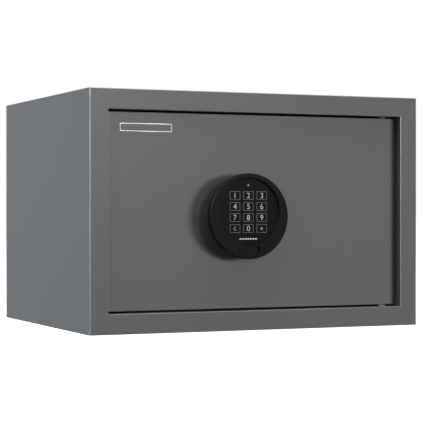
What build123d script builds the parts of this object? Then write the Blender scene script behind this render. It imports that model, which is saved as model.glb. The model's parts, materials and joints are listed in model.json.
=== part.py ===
from build123d import *
import math
import os

os.makedirs("parts", exist_ok=True)

# A steel furniture and wall safe with an electronic rotary knob lock. Millimetres, +Z up.
# +X is to the right of a person facing the door, +Y runs into the safe.
# The origin is the centre of the casing's bottom face.

# Casing
WIDTH = 380.0
DEPTH = 300.0
HEIGHT = 250.0
WALL = 3.0
FRAME_SIDE = 20.0
FRAME_TOP = 21.0
RETURN_DEPTH = 25.0
OUTER_EDGE_R = 1.0
INNER_EDGE_R = 0.8
MAT_THICKNESS = 2.0
MAT_GAP = 1.5
MAT_FRONT_GAP = 3.0
MAT_CUTOUT_R = 14.0
ANCHOR_HOLE_R = 6.0
ANCHOR_SPAN_X = 220.0
ANCHOR_SPAN_Z = 110.0
FLOOR_ANCHOR_Y = 40.0

CUT = 1.0  # how far a cut runs past the face that it opens

FRONT = -DEPTH / 2
REAR = DEPTH / 2
INNER_X = WIDTH / 2 - WALL
MID_Z = HEIGHT / 2
OPENING_X = WIDTH / 2 - FRAME_SIDE
OPENING_LOW = FRAME_TOP
OPENING_HIGH = HEIGHT - FRAME_TOP
RETURN_END = FRONT + RETURN_DEPTH

# Door slab
DOOR_RECESS = 10.0
DOOR_THICKNESS = 10.0
DOOR_GAP_X = 1.6
DOOR_GAP_Z = 2.0
DOOR_EDGE_R = 0.8
DOOR_X = OPENING_X - DOOR_GAP_X
DOOR_LOW = OPENING_LOW + DOOR_GAP_Z
DOOR_HIGH = OPENING_HIGH - DOOR_GAP_Z
DOOR_FRONT = FRONT + DOOR_RECESS
DOOR_BACK = DOOR_FRONT + DOOR_THICKNESS

# Hinge
PIVOT_X = 154.5
PIVOT_Y = DOOR_FRONT + 5.9
PIN_R = 3.0
PIN_BORE_R = 3.08
PIN_SEAT_R = 3.05
PIN_DEPTH_IN_DOOR = 18.0
PIN_END_ROOM = 1.5
PIN_HEAD_R = 6.0
PIN_HEAD_THICKNESS = 3.0
PIN_CHAMFER = 0.6
WASHER_R = 4.6
WASHER_THICKNESS = 1.4

# Hook bar, seen from above: its root on the door and the tongue behind the frame's return
HOOK_ROOT = (141.0, 153.0)
HOOK_TIP = 180.0
HOOK_STAND_OFF = 8.0
HOOK_THICKNESS = 5.0
HOOK_LOW = 45.0
HOOK_LENGTH = 160.0

# Nameplate
BADGE_WIDTH = 58.0
BADGE_HEIGHT = 9.2
BADGE_THICKNESS = 0.8
BADGE_X = -125.9
BADGE_Z = MID_Z + 86.3

# Lock axis and the knob on it
LOCK_X = -18.0
LOCK_Z = MID_Z - 5.0
KNOB_R = 44.9
KNOB_BACK_R = 38.9
KNOB_FACE = FRONT - 11.0
KNOB_RIM = 5.0
KNOB_BACK = DOOR_FRONT - 1.2
KNOB_WALL = 2.4
KNOB_FRONT_WALL = 6.5
KNOB_SCREW_R = 33.0
KNOB_SCREW_ANGLES = (0, 180, 270)
PANEL_R = 34.5
PANEL_RAISE = 5.0
PANEL_RECESS = 3.2
RECESS_DRAFT = 0.8
PANEL_THICKNESS = 1.8
HATCH_WIDTH = 20.4
HATCH_HEIGHT = 10.6
HATCH_DEPTH = 2.5
HATCH_X = LOCK_X - 1.2
HATCH_Z = LOCK_Z - 36.35
PRY_NOTCH = (3.0, 5.8, 2.8)
PRY_NOTCH_RAISE = 2.4
BOARD_DEPTH = 7.8
LED_RAISE = 27.5
LED_R = 1.0
SPINDLE_R = 4.99
HUB_BORE_R = 5.0
SPINDLE_END = -111.5
BUSH_HOLE_R = 7.0
BUSH_R = 6.95
BUSH_BORE_R = 5.08
BUSH_FLANGE_R = 11.0
BUSH_FLANGE_THICKNESS = 0.5

# Keys
KEY_WIDTH = 12.4
KEY_HEIGHT = 9.3
KEY_PITCH_X = 15.4
KEY_PITCH_Z = 11.5
KEY_GAP = 0.3
KEY_PROUD = 0.4
KEY_BODY = 3.0
KEY_FLANGE = 0.6
KEY_FLANGE_THICKNESS = 0.8
KEY_DROP = 0.5
KEY_ROWS = (("key_1", "key_2", "key_3"), ("key_4", "key_5", "key_6"),
            ("key_7", "key_8", "key_9"), ("key_clear", "key_0", "key_enter"))

# Bolt work
KNOB_THROW_DEG = 90.0
PINION_MODULE = 1.0
PINION_TEETH = 20
PINION_R = PINION_MODULE * PINION_TEETH / 2
PINION_FACE = 7.0
PINION_END = -113.5
CLIP_GAP = 0.2
CLIP_THICKNESS = 0.9
RACK_TEETH = 16
RACK_BACKLASH = 0.15
BOLT_THROW = PINION_R * math.radians(KNOB_THROW_DEG)
BOLT_R = 7.0
BOLT_BORE_R = 7.08
BOLT_TIP = -165.0
BOLT_Y = -117.0
TAIL_R = 2.5
TAIL_LENGTH = 10.0
BOLT_RISE = 50.0
BOLT_ZS = (LOCK_Z - BOLT_RISE, LOCK_Z + BOLT_RISE)
CARRIAGE_THICKNESS = 3.0
CARRIAGE_FRONT = -112.0
CARRIAGE_BACK = CARRIAGE_FRONT + CARRIAGE_THICKNESS
ARM_LOW = LOCK_Z + 12.0
ARM_HIGH = LOCK_Z + 32.0
ARM_MID = (ARM_LOW + ARM_HIGH) / 2
FLANGE_X = -133.0
STUD_XS = (-100.0, 30.0)
STUD_R = 4.0
STUD_HEAD_R = 7.0
STUD_HEAD = 2.8
STUD_PLAY = 0.3
SLOT_R = 4.2

# Blocking bolt of the lock case
BLOCK_X = -40.0
BLOCK_SIZE = 8.0
BLOCK_TRAVEL = 6.0
BLOCK_TIP = ARM_HIGH + 1.5
MOTOR_MODULE = 0.5
MOTOR_TEETH = 18
MOTOR_PINION_R = MOTOR_MODULE * MOTOR_TEETH / 2
MOTOR_BACKLASH = 0.1
MOTOR_R = 9.5
MOTOR_LENGTH = 10.5
MOTOR_SHAFT_R = 1.0
MOTOR_BORE_R = 1.08
BLOCK_Y = -110.5
BLOCK_LENGTH = 34.0
BLOCK_PITCH_X = BLOCK_SIZE / 2 - 0.5
MOTOR_X = BLOCK_X + BLOCK_PITCH_X + MOTOR_PINION_R
MOTOR_RISE = 18.0
MOTOR_Z = BLOCK_TIP + MOTOR_RISE

# Lock base plate, bolt guide, lock case, inner cover and battery tray
BASE_PLATE = (-125.0, 75.0, 64.0, 205.0)
BASE_THICKNESS = 2.0
BASE_SCREW_XS = (-117.0, 67.0)
BASE_SCREW_ZS = (72.0, 125.0, 197.0)
GUIDE = (-158.0, -140.0, 55.0, 185.0)
GUIDE_THICKNESS = 3.0
GUIDE_END = -104.0
GUIDE_SCREW_ZS = (62.0, 100.0, 140.0, 178.0)
CASE = (-75.0, 5.0, DOOR_BACK + BASE_THICKNESS, -104.0, ARM_HIGH + 4.0, ARM_HIGH + 48.0)
CASE_WALL = 2.5
CASE_FLOOR = 2.0
CASE_LID = 1.5
CASE_BOSS_INSET = 5.0
CASE_BOSS_R = 4.0
CASE_CORNER_R = 3.0
COVER = (-162.0, 138.0, DOOR_BACK, -96.0, 38.0, 212.0)
COVER_WALL = 1.2
TRAY = (68.0, 134.0, -117.0, -92.0, 64.0, 134.0)
LID_FRONT = TRAY[3] - 3.6
LID_THICKNESS = 2.0
TRAY_WALL = 2.0
CELL_R = 7.1
CELL_LENGTH = 50.0
CELL_PITCH = 16.5
CELL_TIP = 1.5
CELL_Y = TRAY[2] + 2.4 + CELL_R
CONTACT_THICKNESS = 0.6
POSTS = [(x, z) for x in (-146.0, 124.0) for z in (48.0, 202.0)]
POST_BORE_R = 2.0


def block(x0, x1, y0, y1, z0, z1):
    """Box between two corners."""
    return Pos((x0 + x1) / 2, (y0 + y1) / 2, (z0 + z1) / 2) * Box(x1 - x0, y1 - y0, z1 - z0)


def rod_x(radius, x0, x1, y, z):
    """Round bar along X."""
    return Pos((x0 + x1) / 2, y, z) * Rot(0, 90, 0) * Cylinder(radius, x1 - x0)


def rod_y(radius, y0, y1, x, z):
    """Round bar along Y."""
    return Pos(x, (y0 + y1) / 2, z) * Rot(90, 0, 0) * Cylinder(radius, y1 - y0)


def rod_z(radius, z0, z1, x, y):
    """Round bar along Z."""
    return Pos(x, y, (z0 + z1) / 2) * Cylinder(radius, z1 - z0)


def plate_y(sketch, y0, y1, x=0.0, z=0.0):
    """Flat shape, drawn as seen from the front, given a thickness from y0 back to y1."""
    front_view = Plane(origin=(x, y1, z), x_dir=(1, 0, 0), z_dir=(0, -1, 0))
    return extrude(front_view * sketch, amount=y1 - y0)


def hex_bar(across_flats):
    """Hexagon with flats to the left and right."""
    return RegularPolygon(across_flats / 2, 6, major_radius=False)


def save(node, shape):
    export_step(shape, f"parts/{node}.step")


def group(shapes):
    """Separate solids in one node."""
    return Compound(children=list(shapes))


def screw_head(radius, height, x, y, z):
    """Rounded head with a crossed recess, its underside at y."""
    head = rod_y(radius, y, y + height, x, z)
    head = fillet(head.edges().group_by(Axis.Y)[-1], 0.25 * radius)
    arm = 0.55 * radius
    half = 0.14 * radius
    recess = y + 0.45 * height
    head -= block(x - arm, x + arm, recess, y + height + CUT, z - half, z + half)
    return head - block(x - half, x + half, recess, y + height + CUT, z - arm, z + arm)


def gear_outline(module, teeth, backlash):
    """Involute spur gear, pressure angle 20 degrees, thinned by the backlash."""
    pitch_r = module * teeth / 2
    base_r = pitch_r * math.cos(math.radians(20))
    root_r = pitch_r - 1.25 * module
    tip_r = pitch_r + 0.9 * module
    inv_20 = math.tan(math.radians(20)) - math.radians(20)
    half_pitch = math.pi / 2 / teeth - backlash / 2 / pitch_r

    def half_angle(radius):
        pressure = math.acos(min(1.0, base_r / radius))
        return half_pitch + inv_20 - (math.tan(pressure) - pressure)

    start_r = max(base_r, root_r + 0.01)
    radii = [start_r + (tip_r - start_r) * i / 4 for i in range(5)]
    points = []
    for tooth in range(teeth):
        centre = 2 * math.pi * tooth / teeth
        flank = [(r, centre - half_angle(r)) for r in radii]
        flank = [(root_r, centre - half_angle(start_r) * 1.05)] + flank
        far_side = [(r, 2 * centre - a) for r, a in reversed(flank)]
        points += [(r * math.cos(a), r * math.sin(a)) for r, a in flank + far_side]
    return make_face(Polyline(*points, close=True))


def rack_teeth(module, count, backlash):
    """Straight rack teeth that point down from their root line, the pitch line on the X axis."""
    pitch = math.pi * module
    slope = math.tan(math.radians(20))
    half = pitch / 4 - backlash / 2
    tip = 0.9 * module
    root = 1.25 * module
    teeth = []
    for i in range(count):
        x = (i - (count - 1) / 2) * pitch
        teeth.append(Polygon((x - half - root * slope, root), (x - half + tip * slope, -tip),
                             (x + half - tip * slope, -tip), (x + half + root * slope, root), align=None))
    return teeth


# Casing -------------------------------------------------------------------------------------

def body_shell():
    """Folded casing: four walls, a front frame and its deep return round the door opening."""
    outer = block(-WIDTH / 2, WIDTH / 2, FRONT, REAR, 0, HEIGHT)
    outer = fillet(outer.edges().group_by(Axis.Y)[0], OUTER_EDGE_R)
    shell = outer - block(-INNER_X, INNER_X, FRONT + WALL, REAR + CUT, WALL, HEIGHT - WALL)
    shell += block(-OPENING_X - WALL, OPENING_X + WALL, FRONT + WALL, RETURN_END,
                   OPENING_LOW - WALL, OPENING_HIGH + WALL)
    shell -= block(-OPENING_X, OPENING_X, FRONT - CUT, RETURN_END + CUT, OPENING_LOW, OPENING_HIGH)
    mouth = [e for e in shell.edges() if abs(e.center().Y - FRONT) < 0.01
             and abs(e.center().X) < OPENING_X + 0.5
             and OPENING_LOW - 0.5 < e.center().Z < OPENING_HIGH + 0.5]
    shell = fillet(mouth, INNER_EDGE_R)
    shell -= rod_z(PIN_SEAT_R, OPENING_HIGH - CUT, OPENING_HIGH + WALL + CUT, PIVOT_X, PIVOT_Y)
    shell -= rod_z(PIN_SEAT_R, OPENING_LOW - WALL - CUT, OPENING_LOW + CUT, PIVOT_X, PIVOT_Y)
    for side in (-1, 1):
        shell -= rod_z(ANCHOR_HOLE_R, -CUT, WALL + CUT, side * ANCHOR_SPAN_X / 2, FLOOR_ANCHOR_Y)
    return shell


def rear_wall():
    """Rear plate, let into the casing and welded, with four holes for wall anchors."""
    wall = block(-INNER_X, INNER_X, REAR - WALL, REAR, WALL, HEIGHT - WALL)
    for side in (-1, 1):
        for rise in (-1, 1):
            wall -= rod_y(ANCHOR_HOLE_R, REAR - WALL - CUT, REAR + CUT, side * ANCHOR_SPAN_X / 2,
                          MID_Z + rise * ANCHOR_SPAN_Z / 2)
    return wall


def floor_mat():
    """Felt mat on the casing's floor, cut out over the floor anchors."""
    edge = INNER_X - MAT_GAP
    top = WALL + MAT_THICKNESS
    mat = block(-edge, edge, RETURN_END + MAT_FRONT_GAP, REAR - WALL - MAT_GAP, WALL, top)
    for side in (-1, 1):
        mat -= rod_z(MAT_CUTOUT_R, WALL - CUT, top + CUT, side * ANCHOR_SPAN_X / 2, FLOOR_ANCHOR_Y)
    return mat


def hinge_pin(upper):
    """Headed pin, driven through the frame's return into the door's edge."""
    seat = OPENING_HIGH + WALL
    pin = rod_z(PIN_R, DOOR_HIGH - PIN_DEPTH_IN_DOOR, seat + PIN_HEAD_THICKNESS / 2, PIVOT_X, PIVOT_Y)
    pin = chamfer(pin.edges().group_by(Axis.Z)[0], PIN_CHAMFER)
    pin += rod_z(PIN_HEAD_R, seat, seat + PIN_HEAD_THICKNESS, PIVOT_X, PIVOT_Y)
    return pin if upper else mirror(pin, Plane.XY.offset(MID_Z))


def hinge_washer(upper):
    """Spacer on the pin, in the gap between the door and the frame."""
    washer = rod_z(WASHER_R, OPENING_HIGH - WASHER_THICKNESS, OPENING_HIGH, PIVOT_X, PIVOT_Y)
    washer -= rod_z(PIN_SEAT_R, OPENING_HIGH - 2 * WASHER_THICKNESS, OPENING_HIGH + CUT, PIVOT_X, PIVOT_Y)
    return washer if upper else mirror(washer, Plane.XY.offset(MID_Z))


# Door ---------------------------------------------------------------------------------------

def door_plate():
    """Solid door slab with bored hinge edges and a hole for the lock's bush."""
    slab = block(-DOOR_X, DOOR_X, DOOR_FRONT, DOOR_BACK, DOOR_LOW, DOOR_HIGH)
    slab = fillet(slab.edges(), DOOR_EDGE_R)
    bore_end = PIN_DEPTH_IN_DOOR + PIN_END_ROOM
    slab -= rod_z(PIN_BORE_R, DOOR_HIGH - bore_end, DOOR_HIGH + CUT, PIVOT_X, PIVOT_Y)
    slab -= rod_z(PIN_BORE_R, DOOR_LOW - CUT, DOOR_LOW + bore_end, PIVOT_X, PIVOT_Y)
    slab -= rod_y(BUSH_HOLE_R, DOOR_FRONT - CUT, DOOR_BACK + CUT, LOCK_X, LOCK_Z)
    return slab


def hinge_side_hook_bar():
    """Fixed bar that hooks behind the frame's return on the hinge side."""
    inner = DOOR_BACK + HOOK_STAND_OFF
    outer = inner + HOOK_THICKNESS
    left, right = HOOK_ROOT
    outline = Polyline((left, DOOR_BACK), (right, DOOR_BACK), (right, inner), (HOOK_TIP, inner),
                       (HOOK_TIP, outer), (left, outer), close=True)
    return Pos(0, 0, HOOK_LOW) * extrude(make_face(outline), amount=HOOK_LENGTH)


def badge_plate():
    """Blank nameplate on the door's front, at the upper left."""
    outline = RectangleRounded(BADGE_WIDTH, BADGE_HEIGHT, 1.2)
    bar = plate_y(outline, DOOR_FRONT - BADGE_THICKNESS, DOOR_FRONT, BADGE_X, BADGE_Z)
    return fillet(bar.edges().group_by(Axis.Y)[0], 0.3)


def lock_base_plate():
    """Steel plate on the door's back that carries the lock and the bolt work."""
    x0, x1, z0, z1 = BASE_PLATE
    plate = block(x0, x1, DOOR_BACK, DOOR_BACK + BASE_THICKNESS, z0, z1)
    plate = fillet(plate.edges().filter_by(Axis.Y), 4)
    return plate - rod_y(BUSH_HOLE_R, DOOR_BACK - CUT, DOOR_BACK + BASE_THICKNESS + CUT, LOCK_X, LOCK_Z)


def base_plate_screws():
    seat = DOOR_BACK + BASE_THICKNESS
    return group(screw_head(3.8, 2.2, x, seat, z) for x in BASE_SCREW_XS for z in BASE_SCREW_ZS)


def spindle_bush():
    """Flanged brass bush for the knob's spindle, through the door and the base plate."""
    start = DOOR_FRONT - BUSH_FLANGE_THICKNESS
    end = DOOR_BACK + 2 * BASE_THICKNESS
    bush = rod_y(BUSH_R, start, end, LOCK_X, LOCK_Z)
    bush += rod_y(BUSH_FLANGE_R, start, DOOR_FRONT, LOCK_X, LOCK_Z)
    return bush - rod_y(BUSH_BORE_R, start - CUT, end + CUT, LOCK_X, LOCK_Z)


def bolt_guide_bracket():
    """Angle bracket that guides both locking bolts near the door's free edge."""
    x0, x1, z0, z1 = GUIDE
    web = x0 + GUIDE_THICKNESS
    bracket = block(x0, x1, DOOR_BACK, DOOR_BACK + GUIDE_THICKNESS, z0, z1)
    bracket += block(x0, web, DOOR_BACK, GUIDE_END, z0, z1)
    for z in BOLT_ZS:
        bracket -= rod_x(BOLT_BORE_R, x0 - CUT, web + CUT, BOLT_Y, z)
    return bracket


def bracket_screws():
    foot_middle = (GUIDE[0] + GUIDE_THICKNESS + GUIDE[1]) / 2
    seat = DOOR_BACK + GUIDE_THICKNESS
    return group(screw_head(3.2, 1.8, foot_middle, seat, z) for z in GUIDE_SCREW_ZS)


def carriage_studs():
    """Headed shoulder studs that carry the bolt carriage on its slots."""
    studs = []
    for x in STUD_XS:
        stud = rod_y(STUD_HEAD_R, DOOR_BACK + BASE_THICKNESS, CARRIAGE_FRONT - STUD_PLAY, x, ARM_MID)
        stud += rod_y(STUD_R, CARRIAGE_FRONT - CUT, CARRIAGE_BACK + CUT, x, ARM_MID)
        stud += rod_y(STUD_HEAD_R, CARRIAGE_BACK + STUD_PLAY, CARRIAGE_BACK + STUD_HEAD, x, ARM_MID)
        studs.append(stud)
    return group(studs)


def case_corners():
    """X and Z of the four bosses of the lock case."""
    x0, x1, y0, y1, z0, z1 = CASE
    return [(x, z) for x in (x0 + CASE_BOSS_INSET, x1 - CASE_BOSS_INSET)
            for z in (z0 + CASE_BOSS_INSET, z1 - CASE_BOSS_INSET)]


def lock_case():
    """Die-cast tray of the lock, with a slot in its floor for the blocking bolt."""
    x0, x1, y0, y1, z0, z1 = CASE
    case = block(*CASE)
    case = fillet(case.edges().filter_by(Axis.Y), CASE_CORNER_R)
    case -= block(x0 + CASE_WALL, x1 - CASE_WALL, y0 + CASE_FLOOR, y1 + CUT, z0 + CASE_WALL, z1 - CASE_WALL)
    for x, z in case_corners():
        case += rod_y(CASE_BOSS_R, y0 + CASE_FLOOR / 2, y1, x, z)
        case -= rod_y(1.5, y1 - 8, y1 + CUT, x, z)
    reach = BLOCK_SIZE / 2 + 0.2
    case -= block(BLOCK_X - reach, BLOCK_X + reach, BLOCK_Y - reach, BLOCK_Y + reach,
                  z0 - CUT, z0 + CASE_WALL + CUT)
    return case


def lock_case_cover():
    x0, x1, y0, y1, z0, z1 = CASE
    lid = block(x0, x1, y1, y1 + CASE_LID, z0, z1)
    lid = fillet(lid.edges().filter_by(Axis.Y), CASE_CORNER_R)
    for x, z in case_corners():
        lid -= rod_y(1.6, y1 - CUT, y1 + CASE_LID + CUT, x, z)
    return lid


def lock_case_screws():
    lid_face = CASE[3] + CASE_LID
    return group(screw_head(2.8, 1.8, x, lid_face, z) + rod_y(1.4, lid_face - 7.5, lid_face, x, z)
                 for x, z in case_corners())


def lock_motor():
    """Flat geared motor that drives the blocking bolt."""
    y0 = CASE[2] + CASE_FLOOR
    motor = rod_y(MOTOR_R, y0, y0 + MOTOR_LENGTH, MOTOR_X, MOTOR_Z)
    motor = fillet(motor.edges().group_by(Axis.Y)[-1], 0.8)
    return motor - rod_y(MOTOR_BORE_R, y0 + 5, y0 + MOTOR_LENGTH + CUT, MOTOR_X, MOTOR_Z)


def lock_circuit_board():
    """Circuit board with its chip and connector, on the case's floor."""
    y0 = CASE[2] + CASE_FLOOR
    z0 = CASE[4] + 11
    board = block(-19, 1, y0 + 3, y0 + 4.6, z0, z0 + 22)
    board += block(-15, -5, y0 + 4.6, y0 + 6.6, z0 + 3, z0 + 11)
    board += block(-13, -3, y0 + 4.6, y0 + 9.6, z0 + 14, z0 + 20)
    for x in (-16, -2):
        board += rod_y(1.2, y0, y0 + 3.2, x, z0 + 11)
    return board


def mechanism_cover():
    """Thin steel pan over the bolt work, open for the bolts and the battery tray."""
    x0, x1, y0, y1, z0, z1 = COVER
    pan = block(*COVER)
    pan = fillet(pan.edges().filter_by(Axis.Y) + pan.edges().group_by(Axis.Y)[-1], 2.5)
    pan -= block(x0 + COVER_WALL, x1 - COVER_WALL, y0 - CUT, y1 - COVER_WALL,
                 z0 + COVER_WALL, z1 - COVER_WALL)
    for z in BOLT_ZS:
        pan -= rod_x(BOLT_R + 0.8, x0 - CUT, x0 + COVER_WALL + CUT, BOLT_Y, z)
    cut_from = y1 - COVER_WALL - CUT
    tray_gap = 0.3
    pan -= block(TRAY[0] - tray_gap, TRAY[1] + tray_gap, cut_from, y1 + CUT,
                 TRAY[4] - tray_gap, TRAY[5] + tray_gap)
    for x, z in POSTS:
        pan -= rod_y(POST_BORE_R + 0.1, cut_from, y1 + CUT, x, z)
    return pan


def cover_posts():
    """Hexagonal standoffs between the door and the cover."""
    y1 = COVER[3] - COVER_WALL
    return group(plate_y(hex_bar(8), DOOR_BACK, y1, x, z) - rod_y(POST_BORE_R, y1 - 9, y1 + CUT, x, z)
                 for x, z in POSTS)


def cover_screws():
    y1 = COVER[3]
    screws = []
    for x, z in POSTS:
        screw = rod_y(3.8, y1, y1 + 2.2, x, z)
        screw = fillet(screw.edges().group_by(Axis.Y)[-1], 0.8)
        screw += rod_y(POST_BORE_R - 0.1, y1 - 8, y1 + CUT, x, z)
        screws.append(screw - plate_y(hex_bar(2.4), y1 + CUT, y1 + 3, x, z))
    return group(screws)


def battery_box():
    """Plastic tray for four cells, with grooves for its sliding lid."""
    x0, x1, y0, y1, z0, z1 = TRAY
    box = block(*TRAY)
    box = fillet(box.edges().filter_by(Axis.Y), 1.2)
    box -= block(x0 + TRAY_WALL, x1 - TRAY_WALL, y0 + TRAY_WALL, y1 + CUT, z0 + TRAY_WALL, z1 - TRAY_WALL)
    groove = LID_FRONT - 0.2
    groove_depth = TRAY_WALL / 2
    box -= block(x0 + groove_depth, x1 + CUT, groove, LID_FRONT + LID_THICKNESS + 0.2,
                 z0 + groove_depth, z1 - groove_depth)
    return box - block(x1 - TRAY_WALL - CUT, x1 + CUT, groove, y1 + CUT, z0 + TRAY_WALL, z1 - TRAY_WALL)


def cell_heights():
    middle = (TRAY[4] + TRAY[5]) / 2
    return [middle + (i - 1.5) * CELL_PITCH for i in range(4)]


def batteries():
    """Four cells side by side, laid head to tail."""
    middle = (TRAY[0] + TRAY[1]) / 2
    end = middle + CELL_LENGTH / 2
    cells = []
    for i, z in enumerate(cell_heights()):
        cell = rod_x(CELL_R, end - CELL_LENGTH, end - CELL_TIP, CELL_Y, z)
        cell = fillet(cell.edges(), 0.5)
        cell += rod_x(2.6, end - CELL_TIP, end, CELL_Y, z)
        cells.append(cell if i % 2 else mirror(cell, Plane.YZ.offset(middle)))
    return group(cells)


def battery_contacts():
    """Contact plates at both ends of the cells."""
    half = 6.0
    plates = []
    for z in cell_heights():
        for x0 in (TRAY[0] + TRAY_WALL, TRAY[1] - TRAY_WALL - CONTACT_THICKNESS):
            plates.append(block(x0, x0 + CONTACT_THICKNESS, CELL_Y - half, CELL_Y + half, z - half, z + half))
    return group(plates)


def battery_lid():
    """Lid that slides to the right in the tray's grooves, ribbed for the thumb."""
    x0, x1, y0, y1, z0, z1 = TRAY
    lid_back = LID_FRONT + LID_THICKNESS
    lid = block(x0 + 1.3, x1, LID_FRONT, lid_back, z0 + 1.3, z1 - 1.3)
    for i in range(5):
        rib_x = x1 - 8 - 3 * i
        lid += block(rib_x, rib_x + 1.2, lid_back - 0.5, lid_back + 0.7, z0 + 22, z1 - 22)
    return lid


# Bolt carriage ------------------------------------------------------------------------------

def bolt_carriage():
    """Steel carriage: a cross flange for the bolts and a slotted arm with blocking notches."""
    low = LOCK_Z - BOLT_RISE - 11
    high = LOCK_Z + BOLT_RISE + 11
    plate = block(FLANGE_X, FLANGE_X + 20, CARRIAGE_FRONT, CARRIAGE_BACK, low, high)
    plate += block(FLANGE_X, 62, CARRIAGE_FRONT, CARRIAGE_BACK, ARM_LOW, ARM_HIGH)
    plate += block(FLANGE_X, FLANGE_X + CARRIAGE_THICKNESS, BOLT_Y - 7.5, CARRIAGE_BACK, low, high)
    slot = SlotOverall(BOLT_THROW + 2 * SLOT_R + 1, 2 * SLOT_R)
    for x in STUD_XS:
        plate -= plate_y(slot, CARRIAGE_FRONT - CUT, CARRIAGE_BACK + CUT, x + BOLT_THROW / 2, ARM_MID)
    notch = BLOCK_SIZE / 2 + 0.5
    for x in (BLOCK_X, BLOCK_X + BOLT_THROW):
        plate -= block(x - notch, x + notch, CARRIAGE_FRONT - CUT, CARRIAGE_BACK + CUT,
                       ARM_HIGH - BLOCK_TRAVEL - 0.5, ARM_HIGH + CUT)
    for z in BOLT_ZS:
        plate -= rod_x(TAIL_R + 0.1, FLANGE_X - CUT, FLANGE_X + CARRIAGE_THICKNESS + CUT, BOLT_Y, z)
    return plate


def locking_bolt(z):
    """Round steel bolt, chamfered at its tip, with a threaded stud at its tail."""
    bolt = rod_x(BOLT_R, BOLT_TIP, FLANGE_X, BOLT_Y, z)
    bolt = chamfer(bolt.edges().group_by(Axis.X)[0], 1.2)
    return bolt + rod_x(TAIL_R, FLANGE_X - CUT, FLANGE_X + TAIL_LENGTH, BOLT_Y, z)


def bolt_nuts():
    nuts = []
    seat = FLANGE_X + CARRIAGE_THICKNESS
    for z in BOLT_ZS:
        side_view = Plane(origin=(seat, BOLT_Y, z), x_dir=(0, 1, 0), z_dir=(1, 0, 0))
        nut = extrude(side_view * hex_bar(8), amount=4)
        nuts.append(nut - rod_x(TAIL_R + 0.05, seat - CUT, FLANGE_X + TAIL_LENGTH + CUT, BOLT_Y, z))
    return group(nuts)


def carriage_rack():
    """Toothed rack on the carriage's front, above the spindle's pinion."""
    pitch = math.pi * PINION_MODULE
    centre = LOCK_X + 2 * pitch
    bar = Pos(0, 1.25 * PINION_MODULE + 3.2) * Rectangle(RACK_TEETH * pitch, 6.4)
    profile = bar + rack_teeth(PINION_MODULE, RACK_TEETH, RACK_BACKLASH)
    return plate_y(profile, CARRIAGE_FRONT - 8, CARRIAGE_FRONT, centre, LOCK_Z + PINION_R)


# Blocking bolt and its drive ----------------------------------------------------------------

def blocking_bolt():
    """Square bolt with rack teeth on its right side, driven by the motor's pinion."""
    half = BLOCK_SIZE / 2
    root_x = BLOCK_PITCH_X - 1.25 * MOTOR_MODULE
    bar = Pos((root_x - half) / 2, BLOCK_LENGTH / 2) * Rectangle(root_x + half, BLOCK_LENGTH)
    shank = Pos(0, 5) * Rectangle(BLOCK_SIZE, 10)
    middle = MOTOR_RISE + 2 * math.pi * MOTOR_MODULE
    turned = Pos(BLOCK_PITCH_X, middle) * Rot(0, 0, 90)
    teeth = [turned * tooth for tooth in rack_teeth(MOTOR_MODULE, 10, MOTOR_BACKLASH)]
    return plate_y(bar + shank + teeth, BLOCK_Y - half, BLOCK_Y + half, BLOCK_X, BLOCK_TIP)


def motor_pinion():
    """Pinion and shaft of the motor's gearbox."""
    outline = gear_outline(MOTOR_MODULE, MOTOR_TEETH, MOTOR_BACKLASH)
    gear = plate_y(outline, BLOCK_Y - 3, BLOCK_Y + 3, MOTOR_X, MOTOR_Z)
    return gear + rod_y(MOTOR_SHAFT_R, BLOCK_Y - 9.5, BLOCK_Y + 4.5, MOTOR_X, MOTOR_Z)


# Knob ---------------------------------------------------------------------------------------

def knob_profile(face, rim, back, radius, back_radius):
    """Half section of the knob's outside, radius across and depth up."""
    outline = Polyline((0, face), (radius, face), (radius, face + rim), (back_radius, back), (0, back),
                       close=True)
    return make_face(outline)


def on_lock_axis(profile):
    """Turn a half section, drawn as radius and depth, about the lock's axis."""
    section = Plane(origin=(LOCK_X, 0, LOCK_Z), x_dir=(1, 0, 0), z_dir=(0, 0, 1)) * profile
    axis = Axis((LOCK_X, 0, LOCK_Z), (0, 1, 0))
    return revolve(section, axis)


def hatch_outline(gap):
    """Opening for the contact cover at the bottom of the knob's face."""
    return RectangleRounded(HATCH_WIDTH + 2 * gap, HATCH_HEIGHT + 2 * gap, 1.0)


def knob_screw_places():
    """X and Z of the screws that close the knob."""
    for degrees in KNOB_SCREW_ANGLES:
        angle = math.radians(degrees)
        yield LOCK_X + KNOB_SCREW_R * math.cos(angle), LOCK_Z + KNOB_SCREW_R * math.sin(angle)


def recess_cutter():
    """Cone that drafts the wall of the keypad's recess outwards to the knob's face."""
    face = KNOB_FACE - 0.01
    cone = Polyline((0, face), (PANEL_R + RECESS_DRAFT, face), (PANEL_R, KNOB_FACE + PANEL_RECESS),
                    (0, KNOB_FACE + PANEL_RECESS), close=True)
    return Pos(0, 0, PANEL_RAISE) * on_lock_axis(make_face(cone))


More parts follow.
